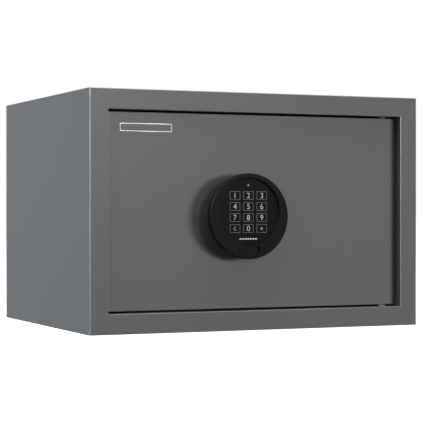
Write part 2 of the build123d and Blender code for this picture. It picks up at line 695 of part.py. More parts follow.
def knob_housing():
    """Moulded cup of the knob, with a recess for the keypad and a pocket for the contact cover."""
    cup = on_lock_axis(knob_profile(KNOB_FACE, KNOB_RIM, KNOB_BACK, KNOB_R, KNOB_BACK_R))
    face_edges = [e for e in cup.edges().filter_by(GeomType.CIRCLE) if abs(e.center().Y - KNOB_FACE) < 0.1]
    cup = fillet(face_edges, 1.2)
    hollow = knob_profile(KNOB_FACE + KNOB_FRONT_WALL, KNOB_RIM - KNOB_WALL, KNOB_BACK + 1,
                          KNOB_R - KNOB_WALL, KNOB_BACK_R - KNOB_WALL - 0.5)
    cup -= on_lock_axis(hollow)
    for x, z in knob_screw_places():
        cup += rod_y(3.0, KNOB_FACE + KNOB_FRONT_WALL - 0.5, KNOB_BACK - 2, x, z)
        cup -= rod_y(0.9, KNOB_BACK - 8, KNOB_BACK - 1, x, z)
    panel_z = LOCK_Z + PANEL_RAISE
    ledge = KNOB_FACE + PANEL_RECESS + PANEL_THICKNESS
    cup -= rod_y(PANEL_R, KNOB_FACE - CUT, ledge, LOCK_X, panel_z)
    cup -= rod_y(PANEL_R - 1.6, KNOB_FACE - CUT, KNOB_FACE + BOARD_DEPTH + 2, LOCK_X, panel_z)
    cup -= recess_cutter()
    cup -= plate_y(hatch_outline(0.3), KNOB_FACE - CUT, KNOB_FACE + HATCH_DEPTH, HATCH_X, HATCH_Z)
    width, height, depth = PRY_NOTCH
    notch_x = HATCH_X + (HATCH_WIDTH + width) / 2
    cup -= plate_y(RectangleRounded(width, height, 0.8), KNOB_FACE - CUT, KNOB_FACE + depth,
                   notch_x, HATCH_Z + PRY_NOTCH_RAISE)
    return cup


def knob_back_plate():
    """Rear plate of the knob with the hub that grips the spindle."""
    plate = rod_y(KNOB_BACK_R - KNOB_WALL - 0.7, KNOB_BACK - 2, KNOB_BACK, LOCK_X, LOCK_Z)
    plate += rod_y(9, KNOB_BACK - 7, KNOB_BACK - 1, LOCK_X, LOCK_Z)
    for x, z in knob_screw_places():
        plate -= rod_y(1.1, KNOB_BACK - 3, KNOB_BACK + 1, x, z)
        plate -= rod_y(2.3, KNOB_BACK - 1.2, KNOB_BACK + 1, x, z)
    return plate - rod_y(HUB_BORE_R, KNOB_BACK - 9, KNOB_BACK + CUT, LOCK_X, LOCK_Z)


def key_centres():
    """Name and centre of each key, seen from the front."""
    for row, names in enumerate(KEY_ROWS):
        for column, name in enumerate(names):
            x = LOCK_X + (column - 1) * KEY_PITCH_X
            z = MID_Z - KEY_DROP + (1.5 - row) * KEY_PITCH_Z
            yield name, x, z


def keypad_panel():
    """Round front panel of the keypad, set into the knob's recess."""
    front = KNOB_FACE + PANEL_RECESS
    back = front + PANEL_THICKNESS
    panel = rod_y(PANEL_R - 0.15, front, back, LOCK_X, LOCK_Z + PANEL_RAISE)
    opening = RectangleRounded(KEY_WIDTH + 2 * KEY_GAP, KEY_HEIGHT + 2 * KEY_GAP, 1.6)
    for name, x, z in key_centres():
        panel -= plate_y(opening, front - CUT, back + CUT, x, z)
    return panel - rod_y(LED_R, front - CUT, back + CUT, LOCK_X, MID_Z + LED_RAISE)


def key(x, z):
    """Keypad button, held behind the panel by its flange."""
    front = KNOB_FACE + PANEL_RECESS - KEY_PROUD
    body = plate_y(RectangleRounded(KEY_WIDTH, KEY_HEIGHT, 1.3), front, front + KEY_BODY, x, z)
    body = fillet(body.edges().group_by(Axis.Y)[0], 0.35)
    flange_front = KNOB_FACE + PANEL_RECESS + PANEL_THICKNESS + KEY_GAP
    flange = RectangleRounded(KEY_WIDTH + 2 * KEY_FLANGE, KEY_HEIGHT + 2 * KEY_FLANGE, 1.8)
    return body + plate_y(flange, flange_front, flange_front + KEY_FLANGE_THICKNESS, x, z)


def led_lens():
    front = KNOB_FACE + PANEL_RECESS
    lens = rod_y(LED_R - 0.02, front - 0.2, front + PANEL_THICKNESS + 1, LOCK_X, MID_Z + LED_RAISE)
    return fillet(lens.edges().group_by(Axis.Y)[0], 0.3)


def keypad_board():
    """Circuit board behind the keys."""
    front = KNOB_FACE + BOARD_DEPTH
    board = plate_y(RectangleRounded(50, 54, 8), front, front + 1.6, LOCK_X, MID_Z + 3)
    for name, x, z in key_centres():
        board += rod_y(2.5, front - 0.2, front + 0.5, x, z)
    return board


def spindle():
    """Steel shaft from the knob's hub to the pinion."""
    shaft = rod_y(SPINDLE_R, KNOB_BACK - 6, SPINDLE_END, LOCK_X, LOCK_Z)
    return chamfer(shaft.edges().group_by(Axis.Y)[-1], 0.6)


def spindle_pinion():
    """Pinion fixed on the spindle, under the rack."""
    outline = gear_outline(PINION_MODULE, PINION_TEETH, RACK_BACKLASH)
    gear = plate_y(outline, PINION_END - PINION_FACE, PINION_END, LOCK_X, LOCK_Z)
    return gear - rod_y(HUB_BORE_R, PINION_END - PINION_FACE - CUT, PINION_END + CUT, LOCK_X, LOCK_Z)


def spindle_clip():
    """Retaining ring behind the pinion."""
    y0 = PINION_END + CLIP_GAP
    y1 = y0 + CLIP_THICKNESS
    ring = rod_y(7.0, y0, y1, LOCK_X, LOCK_Z) - rod_y(HUB_BORE_R, y0 - CUT, y1 + CUT, LOCK_X, LOCK_Z)
    return ring - block(LOCK_X - 1.5, LOCK_X + 1.5, y0 - CUT, y1 + CUT, LOCK_Z - 9, LOCK_Z)


def knob_screws():
    """Three screws that hold the back plate to the knob."""
    screws = []
    for x, z in knob_screw_places():
        screw = rod_y(0.85, KNOB_BACK - 7, KNOB_BACK - 0.5, x, z)
        screws.append(screw + rod_y(2.1, KNOB_BACK - 1.2, KNOB_BACK - 0.1, x, z))
    return group(screws)


def contact_cover():
    """Small push-in cover over the outside power contacts."""
    cover = plate_y(hatch_outline(0), KNOB_FACE + 0.1, KNOB_FACE + 1.4, HATCH_X, HATCH_Z)
    return fillet(cover.edges().group_by(Axis.Y)[0], 0.3)


def emergency_contacts():
    """Two brass studs for a battery held against the knob."""
    back = KNOB_FACE + HATCH_DEPTH
    return group(rod_y(1.8, back - 0.6, back, HATCH_X + side * 5, HATCH_Z) for side in (-1, 1))


def main():
    save("body_shell", body_shell())
    save("rear_wall", rear_wall())
    save("floor_mat", floor_mat())
    for name, upper in (("upper", True), ("lower", False)):
        save(f"hinge_pin_{name}", hinge_pin(upper))
        save(f"hinge_washer_{name}", hinge_washer(upper))
    save("door_plate", door_plate())
    save("hinge_side_hook_bar", hinge_side_hook_bar())
    save("badge_plate", badge_plate())
    save("lock_base_plate", lock_base_plate())
    save("base_plate_screws", base_plate_screws())
    save("spindle_bush", spindle_bush())
    save("bolt_guide_bracket", bolt_guide_bracket())
    save("bracket_screws", bracket_screws())
    save("carriage_studs", carriage_studs())
    save("lock_case", lock_case())
    save("lock_case_cover", lock_case_cover())
    save("lock_case_screws", lock_case_screws())
    save("lock_motor", lock_motor())
    save("lock_circuit_board", lock_circuit_board())
    save("mechanism_cover", mechanism_cover())
    save("cover_posts", cover_posts())
    save("cover_screws", cover_screws())
    save("battery_box", battery_box())
    save("batteries", batteries())
    save("battery_contacts", battery_contacts())
    save("battery_lid", battery_lid())
    save("bolt_carriage", bolt_carriage())
    save("locking_bolt_upper", locking_bolt(LOCK_Z + BOLT_RISE))
    save("locking_bolt_lower", locking_bolt(LOCK_Z - BOLT_RISE))
    save("bolt_nuts", bolt_nuts())
    save("carriage_rack", carriage_rack())
    save("blocking_bolt", blocking_bolt())
    save("motor_pinion", motor_pinion())
    save("knob_housing", knob_housing())
    save("knob_back_plate", knob_back_plate())
    save("keypad_panel", keypad_panel())
    save("keypad_board", keypad_board())
    save("led_lens", led_lens())
    save("spindle", spindle())
    save("spindle_pinion", spindle_pinion())
    save("spindle_clip", spindle_clip())
    save("knob_screws", knob_screws())
    save("contact_cover", contact_cover())
    save("emergency_contacts", emergency_contacts())
    for name, x, z in key_centres():
        save(name, key(x, z))


main()
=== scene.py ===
"""Looks of a steel furniture safe with a rotary keypad knob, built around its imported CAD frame. Metres."""
import json
import math
import random

import bmesh
import bpy
from mathutils import Matrix, Vector


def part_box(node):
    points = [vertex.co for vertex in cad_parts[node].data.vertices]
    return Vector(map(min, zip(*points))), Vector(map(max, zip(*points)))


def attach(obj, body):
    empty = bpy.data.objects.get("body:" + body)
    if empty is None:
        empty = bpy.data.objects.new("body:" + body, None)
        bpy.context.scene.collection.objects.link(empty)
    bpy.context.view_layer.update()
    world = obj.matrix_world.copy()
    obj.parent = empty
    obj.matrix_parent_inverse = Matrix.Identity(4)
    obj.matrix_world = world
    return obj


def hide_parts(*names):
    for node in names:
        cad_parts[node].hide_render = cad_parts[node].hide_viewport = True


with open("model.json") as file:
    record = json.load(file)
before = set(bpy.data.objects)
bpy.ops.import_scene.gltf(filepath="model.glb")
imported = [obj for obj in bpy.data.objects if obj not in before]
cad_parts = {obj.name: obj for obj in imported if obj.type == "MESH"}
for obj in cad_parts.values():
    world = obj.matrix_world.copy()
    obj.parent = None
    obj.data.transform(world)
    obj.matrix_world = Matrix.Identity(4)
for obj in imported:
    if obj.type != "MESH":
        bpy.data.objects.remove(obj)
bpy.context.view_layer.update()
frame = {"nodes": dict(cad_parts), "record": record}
MM = 0.001

CASING_LOW, CASING_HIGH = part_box("body_shell")
FRONT_CENTRE = Vector((0, CASING_LOW.y, (CASING_LOW.z + CASING_HIGH.z) / 2))

# Camera, measured from the centre of the casing's front
CAMERA_OFFSET = Vector((-0.7024, -1.4755, 0))
CAMERA_YAW = 23.64
CAMERA_LENS = 131.9
CAMERA_SENSOR = 36
CAMERA_CLIP = (0.05, 50)

# Lights. A place is a bearing in degrees from the front towards the right, a distance and a height,
# all about the centre of the casing's front. A size is across and up.
WHITE = (1, 1, 1)
WARM = (1.0, 0.995, 0.985)
COOL = (0.93, 0.975, 1.0)
PALE = (0.90, 0.97, 1.0)
KEY_PLACE = (35.0, 5.0, 0)
KEY_SIZE = (1.5, 1.5)
KEY_POWER = 319
KEY_GLOSS = 0.01  # share of the key's power that its reflection has
FILL_PLACE = (-50, 2.5, 0.3)
FILL_SIZE = (0.8, 0.8)
FILL_POWER = 3.5
STRIP_PLACE = (-66, 2.5, 1.35)
STRIP_SIZE = (0.3, 1.5)
STRIP_POWER = 130
SHEEN_PLACE = (8, 2.6, 0.75)
SHEEN_SIZE = (0.6, 0.6)
SHEEN_POWER = 21
SIDE_POSITION = Vector((-2.3, 0.75, 0.5))
SIDE_TARGET = Vector((-0.19, 0, 0.125))
SIDE_SIZE = (1.3, 1.3)
SIDE_POWER = 81
TOP_POSITION = Vector((0, 0, 2.4))
TOP_TARGET = Vector((0, 0, 0))
TOP_SIZE = (2.6, 2.6)
TOP_POWER = 45
AMBIENT = (0.74, 0.76, 0.80)
AMBIENT_STRENGTH = 0.06

# Floor
FLOOR_HALF_SIZE = 14
FLOOR_SEGMENTS = 8
FLOOR_GLOW = 1.15

# Colours, linear
PAINT = (0.142, 0.144, 0.150)
PAINT_DARK = (0.035, 0.036, 0.038)
KNOB_BLACK = (0.0067, 0.0067, 0.0068)
PANEL_BLACK = (0.0053, 0.0053, 0.0054)
TRAY_BLACK = (0.02, 0.02, 0.021)
PRINT_GREY = (0.26, 0.26, 0.26)
PRINT_WHITE = (0.90, 0.90, 0.90)
BOLT_STEEL = (0.66, 0.66, 0.67)
PLATE_METAL = (0.15, 0.15, 0.155)
LIP_METAL = (0.88, 0.88, 0.90)
BRASS = (0.72, 0.52, 0.22)
CONTACT_METAL = (0.66, 0.64, 0.58)

# Ranges of a noise value: most of it lies in MIDDLE, and nearly all of it in WIDE
MIDDLE = (0.35, 0.65)
WIDE = (0.3, 0.7)
UNIT = (0.0, 1.0)

# Printing on the keypad
GLYPHS = {"key_clear": "C", "key_enter": "*"}
DIGIT_SIZE = 8.0 * MM
GLYPH_SIZES = {"key_clear": 5.0 * MM, "key_enter": 7.2 * MM}
GLYPH_SPREAD = -0.06 * MM  # thins the strokes
INK = 0.03 * MM
KEY_FLANGE = 1.2 * MM  # how much larger a key's hidden flange is than its cap
OUTLINE_INSET = 0.35 * MM
OUTLINE = 0.38 * MM
OUTLINE_R = 1.0 * MM
OUTLINE_INNER_R = 0.7 * MM
MARK_DROP = 28.6 * MM
MARK_DASHES = 7
MARK_PITCH = 3.0 * MM
MARK_LENGTH = 2.5 * MM
MARK_HEIGHT = 1.3 * MM
DASH_CORNERS = ((-0.5, -0.5), (0.3, -0.5), (0.5, 0.5), (-0.3, 0.5))  # in lengths and heights

# Lip round the nameplate
LIP_INSET = 0.7 * MM
LIP_R = 1.0 * MM
LIP_INNER_R = 0.4 * MM
LIP_WIDTH = 0.75 * MM
LIP_HEIGHT = 0.3 * MM
LIP_SUNK = 0.1 * MM

# Felt mat
MAT_HOLE_R = 14 * MM
MAT_GRID = 5 * MM
MAT_HOLE_PULL = (0.72 * MAT_HOLE_R, MAT_HOLE_R + 0.6 * MAT_GRID)  # distances that snap to the rim
MAT_HOLE_CUT = 0.93 * MAT_HOLE_R
MAT_RISE = 0.16
MAT_TOP_ROOM = 0.2 * MM
MAT_ROOM = 0.3 * MM
MAT_EDGE_R = 0.5 * MM
MAT_SEED = 7

CORNER_STEPS = 6


# Node helpers ---------------------------------------------------------------------------------

def add_node(tree, kind, **properties):
    made = tree.nodes.new(kind)
    for name, value in properties.items():
        setattr(made, name, value)
    return made


def set_inputs(made, values):
    for label, value in values.items():
        made.inputs[label].default_value = value


def object_coordinates(tree, **mapping):
    """The object's own coordinates; Scale or Rotation maps them first."""
    source = add_node(tree, "ShaderNodeTexCoord").outputs["Object"]
    if mapping:
        turned = add_node(tree, "ShaderNodeMapping")
        set_inputs(turned, mapping)
        tree.links.new(source, turned.inputs["Vector"])
        source = turned.outputs["Vector"]
    return source


def noise(tree, scale, detail=4, roughness=0.55, stretch=None):
    """Noise over the object's own coordinates; stretch scales each axis first."""
    made = add_node(tree, "ShaderNodeTexNoise")
    set_inputs(made, {"Scale": scale, "Detail": detail, "Roughness": roughness})
    source = object_coordinates(tree, Scale=stretch) if stretch else object_coordinates(tree)
    tree.links.new(source, made.inputs["Vector"])
    return made.outputs["Fac"]


def remap(tree, value, source, target):
    """The value carried from the source range to the target range, and kept inside it."""
    made = add_node(tree, "ShaderNodeMapRange")
    labels = ("From Min", "From Max", "To Min", "To Max")
    set_inputs(made, dict(zip(labels, (*source, *target))))
    tree.links.new(value, made.inputs["Value"])
    return made.outputs["Result"]


def combine(tree, operation, first, second):
    """One number made from two."""
    made = add_node(tree, "ShaderNodeMath", operation=operation)
    tree.links.new(first, made.inputs[0])
    tree.links.new(second, made.inputs[1])
    return made.outputs["Value"]


def mix_colours(tree, factor, first, second):
    """Colour between first and second; either may be a tuple or a socket."""
    made = add_node(tree, "ShaderNodeMix", data_type="RGBA")
    tree.links.new(factor, made.inputs["Factor"])
    for name, colour in (("A", first), ("B", second)):
        socket = [s for s in made.inputs if s.name == name and s.type == "RGBA"][0]
        if isinstance(colour, tuple):
            socket.default_value = (*colour, 1)
        else:
            tree.links.new(colour, socket)
    return [s for s in made.outputs if s.type == "RGBA"][0]


def bump(tree, height, distance, under=None):
    made = add_node(tree, "ShaderNodeBump")
    set_inputs(made, {"Distance": distance, "Strength": 1.0})
    tree.links.new(height, made.inputs["Height"])
    if under is not None:
        tree.links.new(under, made.inputs["Normal"])
    return made.outputs["Normal"]


def edge_mask(tree, radius):
    """About 0 on open faces, rising towards 1 within the radius of an edge."""
    bevel = add_node(tree, "ShaderNodeBevel", samples=6)
    set_inputs(bevel, {"Radius": radius})
    geometry = add_node(tree, "ShaderNodeNewGeometry")
    dot = add_node(tree, "ShaderNodeVectorMath", operation="DOT_PRODUCT")
    tree.links.new(bevel.outputs["Normal"], dot.inputs[0])
    tree.links.new(geometry.outputs["Normal"], dot.inputs[1])
    return remap(tree, dot.outputs["Value"], (0.995, 0.80), UNIT)


def rounding_mask(tree):
    """0 on faces square to the object's axes, 1 on the rounding between them."""
    normal = add_node(tree, "ShaderNodeTexCoord").outputs["Normal"]
    size = add_node(tree, "ShaderNodeVectorMath", operation="ABSOLUTE")
    tree.links.new(normal, size.inputs[0])
    parts = add_node(tree, "ShaderNodeSeparateXYZ")
    tree.links.new(size.outputs["Vector"], parts.inputs[0])
    largest = combine(tree, "MAXIMUM", parts.outputs["X"], parts.outputs["Y"])
    largest = combine(tree, "MAXIMUM", largest, parts.outputs["Z"])
    return remap(tree, largest, (0.995, 0.93), UNIT)


def shade(colour, factor):
    return tuple(channel * factor for channel in colour)


def surface(name, metallic=0.0, roughness=0.5, **inputs):
    """New material with its Principled shader; the extra inputs are that shader's uniform values."""
    made = bpy.data.materials.new(name)
    made.use_nodes = True
    tree = made.node_tree
    shader = tree.nodes["Principled BSDF"]
    values = {label.replace("_", " "): value for label, value in inputs.items()}
    set_inputs(shader, {"Metallic": metallic, "Roughness": roughness, **values})
    return made, tree, shader


def plug(tree, shader, colour, roughness=None, normal=None):
    for label, socket in (("Base Color", colour), ("Roughness", roughness), ("Normal", normal)):
        if socket is not None:
            tree.links.new(socket, shader.inputs[label])


# Materials ------------------------------------------------------------------------------------

def powder_coat(name, colour, edge_highlight_gain, edge_metal):
    """Fine-textured powder coat: even colour with a slight cloud, orange peel, and a painted highlight on
    its roundings, which are paler and partly metallic.
    """
    made, tree, shader = surface(name, roughness=0.40)
    cloud = remap(tree, noise(tree, scale=9, detail=3), MIDDLE, UNIT)
    body = mix_colours(tree, cloud, shade(colour, 0.985), shade(colour, 1.015))
    speckle = remap(tree, noise(tree, scale=2600, detail=2), (0.58, 0.72), (0.0, 0.14))
    body = mix_colours(tree, speckle, body, shade(colour, 1.5))
    # The roundings are painted paler as a highlight, broken up a little by noise, and made partly metallic.
    scuffs_and_highlight_breaks = remap(tree, noise(tree, scale=160, detail=5, roughness=0.7), MIDDLE, (0.80, 1.0))
    painted_edge_highlight = combine(tree, "MULTIPLY", rounding_mask(tree), scuffs_and_highlight_breaks)
    body = mix_colours(tree, painted_edge_highlight, body, shade(colour, edge_highlight_gain))
    tree.links.new(remap(tree, painted_edge_highlight, UNIT, (0.0, edge_metal)), shader.inputs["Metallic"])
    rough = remap(tree, noise(tree, scale=900, detail=3), WIDE, (0.36, 0.44))
    peel = bump(tree, noise(tree, scale=750, detail=3, roughness=0.5), distance=0.04 * MM)
    fine = bump(tree, noise(tree, scale=3200, detail=2, roughness=0.5), distance=0.014 * MM, under=peel)
    plug(tree, shader, body, rough, fine)
    return made


def moulded_plastic(name, colour, roughness, grain, scale):
    """Moulded plastic with a spark-eroded grain and slightly paler edges."""
    made, tree, shader = surface(name, roughness=roughness, Specular_IOR_Level=0.16)
    cloud = remap(tree, noise(tree, scale=60), MIDDLE, UNIT)
    body = mix_colours(tree, cloud, shade(colour, 0.92), shade(colour, 1.08))
    body = mix_colours(tree, edge_mask(tree, 0.6 * MM), body, shade(colour, 1.7))
    rough = remap(tree, noise(tree, scale=500, detail=3), WIDE, (roughness - 0.05, roughness + 0.06))
    plug(tree, shader, body, rough, bump(tree, noise(tree, scale, detail=3, roughness=0.6), grain))
    return made


def brushed_metal(name, colour, roughness, stretch, metallic=1.0):
    """Metal with fine lines across the stretched axis, smudges, and bright edges."""
    made, tree, shader = surface(name, metallic=metallic, roughness=roughness)
    lines = noise(tree, scale=60, detail=8, roughness=0.75, stretch=stretch)
    smudge = remap(tree, noise(tree, scale=45), (0.35, 0.7), UNIT)
    body = mix_colours(tree, smudge, shade(colour, 0.88), colour)
    body = mix_colours(tree, edge_mask(tree, 0.5 * MM), body, shade(colour, 1.2))
    rough = remap(tree, lines, WIDE, (roughness - 0.09, roughness + 0.11))
    plug(tree, shader, body, rough, bump(tree, lines, distance=0.02 * MM))
    return made


def zinc_plate():
    """Bright zinc plating: faint bluish and yellowish spangle over a rolled sheet."""
    made, tree, shader = surface("zinc_plate", metallic=1.0, roughness=0.36)
    spangle = remap(tree, noise(tree, scale=140, detail=5, roughness=0.65), MIDDLE, UNIT)
    yellowish, bluish, rubbed = (0.52, 0.51, 0.46), (0.63, 0.64, 0.66), (0.80, 0.80, 0.80)
    body = mix_colours(tree, spangle, yellowish, bluish)
    body = mix_colours(tree, edge_mask(tree, 0.5 * MM), body, rubbed)
    rough = remap(tree, noise(tree, scale=260, detail=6, roughness=0.7), WIDE, (0.27, 0.46))
    plug(tree, shader, body, rough, bump(tree, noise(tree, scale=900), distance=0.015 * MM))
    return made


def cast_metal():
    """Die-cast zinc alloy as it leaves the mould: dull, faintly pitted, with flow marks."""
    made, tree, shader = surface("cast_metal", metallic=1.0, roughness=0.5)
    flow = remap(tree, noise(tree, scale=55, detail=5, roughness=0.6, stretch=(1, 1, 3)), WIDE, UNIT)
    dull, clean, rubbed = (0.33, 0.33, 0.34), (0.46, 0.46, 0.47), (0.62, 0.62, 0.62)
    body = mix_colours(tree, flow, dull, clean)
    body = mix_colours(tree, edge_mask(tree, 0.6 * MM), body, rubbed)
    rough = remap(tree, noise(tree, scale=400), WIDE, (0.42, 0.60))
    pits = bump(tree, noise(tree, scale=1300, detail=5, roughness=0.7), distance=0.05 * MM)
    plug(tree, shader, body, rough, pits)
    return made


def felt():
    """Needle felt: tangled fibres under a fine nap, with painted shade in the hollows between them."""
    made, tree, shader = surface("felt", roughness=0.95, Sheen_Weight=0.35, Sheen_Roughness=0.6)
    fibres = noise(tree, scale=1500, detail=8, roughness=0.8, stretch=(1, 0.35, 1))
    across = noise(tree, scale=1300, detail=8, roughness=0.8, stretch=(0.3, 1, 1))
    tangle = combine(tree, "MAXIMUM", fibres, across)
    # The dark tone lies where the fibre bump is low: painted shade in the hollows.
    hollow_shade, raised, pressed = (0.012, 0.012, 0.013), (0.055, 0.055, 0.058), (0.03, 0.03, 0.032)
    body = mix_colours(tree, remap(tree, tangle, (0.45, 0.75), UNIT), hollow_shade, raised)
    patch = remap(tree, noise(tree, scale=25, detail=3), MIDDLE, (0.0, 0.35))
    body = mix_colours(tree, patch, body, pressed)
    plug(tree, shader, body, normal=bump(tree, tangle, distance=0.6 * MM))
    return made


def circuit_laminate():
    """Green solder mask with the tracks just showing through it."""
    made, tree, shader = surface("circuit_laminate", roughness=0.3, Coat_Weight=0.4)
    tracks = add_node(tree, "ShaderNodeTexBrick")
    set_inputs(tracks, {"Scale": 260, "Mortar Size": 0.03, "Brick Width": 0.9, "Row Height": 0.35})
    upright = (math.radians(90), 0, 0)
    tree.links.new(object_coordinates(tree, Rotation=upright), tracks.inputs["Vector"])
    mask, track, shadow = (0.006, 0.085, 0.030), (0.015, 0.16, 0.06), (0.004, 0.05, 0.02)
    body = mix_colours(tree, tracks.outputs["Fac"], mask, track)
    mottled = remap(tree, noise(tree, scale=300, detail=3), (0.4, 0.7), (0.0, 0.2))
    body = mix_colours(tree, mottled, body, shadow)
    plug(tree, shader, body, normal=bump(tree, tracks.outputs["Fac"], distance=0.02 * MM))
    return made


def cell_sleeve():
    """Plain shrink sleeve of a round cell, with a copper-coloured end band."""
    made, tree, shader = surface("cell_sleeve", metallic=0.3, roughness=0.32, Coat_Weight=0.3)
    low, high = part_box("batteries")
    length = high.x - low.x
    separate = add_node(tree, "ShaderNodeSeparateXYZ")
    tree.links.new(object_coordinates(tree), separate.inputs[0])
    band_edge = (low.x + 0.66 * length, low.x + 0.67 * length)
    band = remap(tree, separate.outputs["X"], band_edge, UNIT)
    sleeve, copper, scuffed = (0.02, 0.03, 0.06), (0.42, 0.22, 0.10), (0.30, 0.30, 0.30)
    body = mix_colours(tree, band, sleeve, copper)
    scuffs_and_highlight_breaks = remap(tree, noise(tree, scale=180, detail=6, roughness=0.7), (0.5, 0.75), (0.0, 0.25))
    body = mix_colours(tree, scuffs_and_highlight_breaks, body, scuffed)
    rough = remap(tree, noise(tree, scale=240), WIDE, (0.25, 0.42))
    plug(tree, shader, body, rough, bump(tree, noise(tree, scale=420, detail=3), distance=0.02 * MM))
    return made


def clear_lens():
    """Milky lens of the signal light."""
    made, tree, shader = surface("clear_lens", roughness=0.2, Coat_Weight=0.6, Subsurface_Weight=0.2)
    milk = remap(tree, noise(tree, scale=1500, detail=3), WIDE, UNIT)
    body = mix_colours(tree, milk, (0.50, 0.51, 0.52), (0.74, 0.75, 0.76))
    plug(tree, shader, body, normal=bump(tree, noise(tree, scale=2500, detail=2), distance=0.01 * MM))
    return made


def printed_ink(name, colour):
    """Screen-printed ink, slightly uneven in density."""
    made, tree, shader = surface(name, roughness=0.55)
    density = remap(tree, noise(tree, scale=3000, roughness=0.7), WIDE, UNIT)
    body = mix_colours(tree, density, shade(colour, 0.86), colour)
    plug(tree, shader, body, normal=bump(tree, noise(tree, scale=4000, detail=2), distance=0.008 * MM))
    return made


def make_materials():
    """One material for each slot of the record."""
    fine_grain = 0.012 * MM
    return {
        # Each paint gets a painted highlight on its roundings, strongest on the casing.
        "casing_paint": powder_coat("casing_paint", PAINT, edge_highlight_gain=3.2, edge_metal=0.6),
        "door_paint": powder_coat("door_paint", PAINT, edge_highlight_gain=1.3, edge_metal=0.1),
        "cover_paint": powder_coat("cover_paint", PAINT_DARK, edge_highlight_gain=1.5, edge_metal=0.1),
        "felt": felt(),
        "zinc_steel": zinc_plate(),
        "bolt_steel": brushed_metal("bolt_steel", BOLT_STEEL, 0.2, stretch=(40, 1, 1)),
        "badge_metal": brushed_metal("badge_metal", PLATE_METAL, 0.42, stretch=(1, 1, 60), metallic=0.35),
        "brass": brushed_metal("brass", BRASS, 0.28, stretch=(1, 30, 1)),
        "diecast": cast_metal(),
        "knob_plastic": moulded_plastic("knob_plastic", KNOB_BLACK, 0.44, 0.03 * MM, scale=2400),
        "keypad_plastic": moulded_plastic("keypad_plastic", PANEL_BLACK, 0.38, fine_grain, scale=3200),
        "key_plastic": moulded_plastic("key_plastic", PANEL_BLACK, 0.36, fine_grain, scale=3000),
        "battery_plastic": moulded_plastic("battery_plastic", TRAY_BLACK, 0.5, 0.04 * MM, scale=2400),
        "circuit_board": circuit_laminate(),
        "battery_wrap": cell_sleeve(),
        "contact_metal": brushed_metal("contact_metal", CONTACT_METAL, 0.3, stretch=(1, 1, 20)),
        "led_glass": clear_lens(),
    }


def dress_nodes(materials):
    """Gives every CAD node the material of its slot."""
    for part in frame["record"]["subparts"]:
        node = frame["nodes"][part["node"]]
        node.data.materials.clear()
        node.data.materials.append(materials[part["material_slot"]])


# Mesh helpers ---------------------------------------------------------------------------------

def mesh_object(name, mesh_data, body, material):
    """Links a piece, gives it its material and slot, and sets it riding on its body."""
    piece = bpy.data.objects.new(name, mesh_data)
    bpy.context.scene.collection.objects.link(piece)
    piece.data.materials.append(material)
    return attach(piece, body)


def from_bmesh(name, built):
    data = bpy.data.meshes.new(name)
    built.normal_update()
    built.to_mesh(data)
    built.free()
    return data


def front_centre(low, high):
    """Centre of a box's front face."""
    return Vector(((low.x + high.x) / 2, low.y, (low.z + high.z) / 2))


def rounded_loop(width, height, radius):
    """Points of a rounded rectangle about the origin, as (across, up)."""
    points = []
    for quarter, (sx, sz) in enumerate(((1, 1), (-1, 1), (-1, -1), (1, -1))):
        for step in range(CORNER_STEPS + 1):
            angle = math.radians(90 * quarter + 90 * step / CORNER_STEPS)
            points.append((sx * (width / 2 - radius) + radius * math.cos(angle),
                           sz * (height / 2 - radius) + radius * math.sin(angle)))
    return points


def raised_frame(centre, width, height, band, radii, thickness):
    """Closed rounded frame of a band's width, standing towards the front from the centre's plane."""
    outer = rounded_loop(width, height, radii[0])
    inner = rounded_loop(width - 2 * band, height - 2 * band, radii[1])
    count = len(outer)
    built = bmesh.new()
    rings = []
    for loop, depth in ((outer, 0), (outer, -thickness), (inner, -thickness), (inner, 0)):
        rings.append([built.verts.new(centre + Vector((x, depth, z))) for x, z in loop])
    for ring, following in zip(rings, rings[1:] + rings[:1]):
        for i in range(count):
            j = (i + 1) % count
            built.faces.new((ring[i], ring[j], following[j], following[i]))
    return built


# Keypad and nameplate -------------------------------------------------------------------------

def glyph_mesh(text, size, place):
    """Flat raised figure, centred on a place on the key's front."""
    curve = bpy.data.curves.new("glyph", "FONT")
    curve.body = text
    curve.size = size
    curve.align_x = "CENTER"
    curve.align_y = "CENTER"
    curve.extrude = INK / 2
    curve.offset = GLYPH_SPREAD
    made = bpy.data.objects.new("glyph", curve)
    bpy.context.scene.collection.objects.link(made)
    bpy.context.view_layer.update()
    depsgraph = bpy.context.evaluated_depsgraph_get()
    data = bpy.data.meshes.new_from_object(made.evaluated_get(depsgraph))
    bpy.data.objects.remove(made)
    xs = [v.co.x for v in data.vertices]
    ys = [v.co.y for v in data.vertices]
    middle = Vector(((min(xs) + max(xs)) / 2, (min(ys) + max(ys)) / 2, 0))
    data.transform(Matrix.Translation(-middle))
    data.transform(Matrix.Rotation(math.radians(90), 4, "X"))
    data.transform(Matrix.Translation(place))
    return data


def print_keys(outline_ink, figure_ink):
    """A printed frame and figure on each key."""
    for name in [n for n in frame["nodes"] if n.startswith("key_")]:
        low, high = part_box(name)
        face = front_centre(low, high)
        border = KEY_FLANGE + 2 * OUTLINE_INSET
        width, height = high.x - low.x - border, high.z - low.z - border
        outline = raised_frame(face, width, height, OUTLINE, (OUTLINE_R, OUTLINE_INNER_R), INK)
        outline_name = "print_frame_" + name
        mesh_object(outline_name, from_bmesh(outline_name, outline), name, outline_ink)
        text = GLYPHS.get(name, name[-1])
        figure = glyph_mesh(text, GLYPH_SIZES.get(name, DIGIT_SIZE), face - Vector((0, INK / 2, 0)))
        mesh_object("print_figure_" + name, figure, name, figure_ink)


